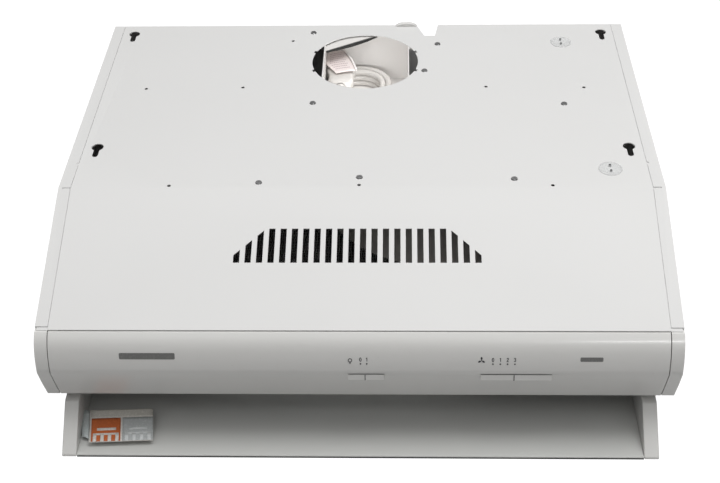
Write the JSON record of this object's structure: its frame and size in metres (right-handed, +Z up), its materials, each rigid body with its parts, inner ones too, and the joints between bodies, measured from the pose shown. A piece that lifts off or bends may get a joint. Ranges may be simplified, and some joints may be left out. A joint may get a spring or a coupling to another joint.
{
  "type": "cooker hood",
  "caption": "Under-cabinet cooker hood with sloping louvred top, slide switches, pull-out visor, hinged filter grille and a centrifugal blower to a round duct outlet.",
  "frame": {"origin": "middle of the base, in the plane that the hood stands on", "axes": "+X to the right seen from the front, -Y to the front, +Z up out of the duct outlet"},
  "size_m": [0.6, 0.525, 0.1859],
  "materials": {
    "white_steel": "satin white enamel",
    "galvanised_steel": "galvanised",
    "bright_steel": "zinc plated",
    "white_plastic": "glossy white moulding",
    "visor_panel": "light grey lacquer",
    "visor_plastic": "satin white moulding",
    "natural_plastic": "natural polypropylene",
    "dark_plastic": "black moulding",
    "motor_metal": "painted",
    "alloy_mesh": "knitted mesh",
    "alloy": "bright",
    "clear_plastic": "clear",
    "frosted_lens": "frosted",
    "lead_pvc": "grey flexible pvc",
    "paper": "printed paper",
    "sticker": "printed sticker",
    "rubber": "black rubber"
  },
  "bodies": {
    "shell": {"top_panel": "white_steel", "side_panel_left": "white_steel", "side_panel_right": "white_steel", "back_panel": "white_steel", "base_frame": "white_steel", "front_plate": "galvanised_steel", "fascia": "white_plastic", "end_cap_left": "white_plastic", "end_cap_right": "white_plastic", "light_switch": "dark_plastic", "fan_switch": "dark_plastic", "switch_bracket": "galvanised_steel", "visor_guide_left": "galvanised_steel", "visor_guide_right": "galvanised_steel", "grille_hinge_pins": "bright_steel", "lamp_lens": "frosted_lens", "lamp_reflector": "alloy", "lamp_holder": "natural_plastic", "lamp_bulb": "frosted_lens", "outlet_box": "natural_plastic", "blower_housing": "natural_plastic", "blower_cover": "natural_plastic", "motor_body": "motor_metal", "motor_bushes": "rubber", "capacitor": "natural_plastic", "terminal_box": "natural_plastic", "terminal_lid": "natural_plastic", "wiring_loom": "dark_plastic", "lead_gland": "lead_pvc", "mains_lead": "lead_pvc", "mains_coil": "lead_pvc", "lead_to_plug": "lead_pvc", "mains_plug": "lead_pvc", "lead_tag": "paper", "notch_saddle": "white_plastic", "clear_discs": "clear_plastic", "outlet_seal": "rubber", "top_screws": "bright_steel", "fascia_screws": "bright_steel", "base_screws": "bright_steel", "blower_screws": "bright_steel"},
    "visor": {"visor_tray": "visor_panel", "visor_seal": "rubber", "visor_cheek_left": "visor_plastic", "visor_cheek_right": "visor_plastic", "visor_sticker": "sticker"},
    "light_slider": {"light_knob": "white_plastic"},
    "fan_slider": {"fan_knob": "white_plastic"},
    "rotor": {"impeller": "natural_plastic", "impeller_nut": "bright_steel", "motor_shaft": "bright_steel"},
    "grille": {"filter_grille": "white_steel", "filter_mesh": "alloy_mesh", "filter_clips": "bright_steel"}
  },
  "joints": [
    {"name": "visor_slide", "type": "slide", "parent": "shell", "child": "visor", "axis": [0, 1, 0], "range_m": [0, 0.036]},
    {"name": "light_slide", "type": "slide", "parent": "shell", "child": "light_slider", "axis": [1, 0, 0], "range_m": [-0.006, 0]},
    {"name": "fan_slide", "type": "slide", "parent": "shell", "child": "fan_slider", "axis": [1, 0, 0], "range_m": [-0.0207, 0]},
    {"name": "impeller_spin", "type": "hinge", "parent": "shell", "child": "rotor", "pos_m": [0.1, 0.0505, 0.13], "axis": [0, 0, 1], "continuous": true},
    {"name": "grille_hinge", "type": "hinge", "parent": "shell", "child": "grille", "pos_m": [0, 0.2225, 0.006], "axis": [1, 0, 0], "range_deg": [0, 85]}
  ]
}
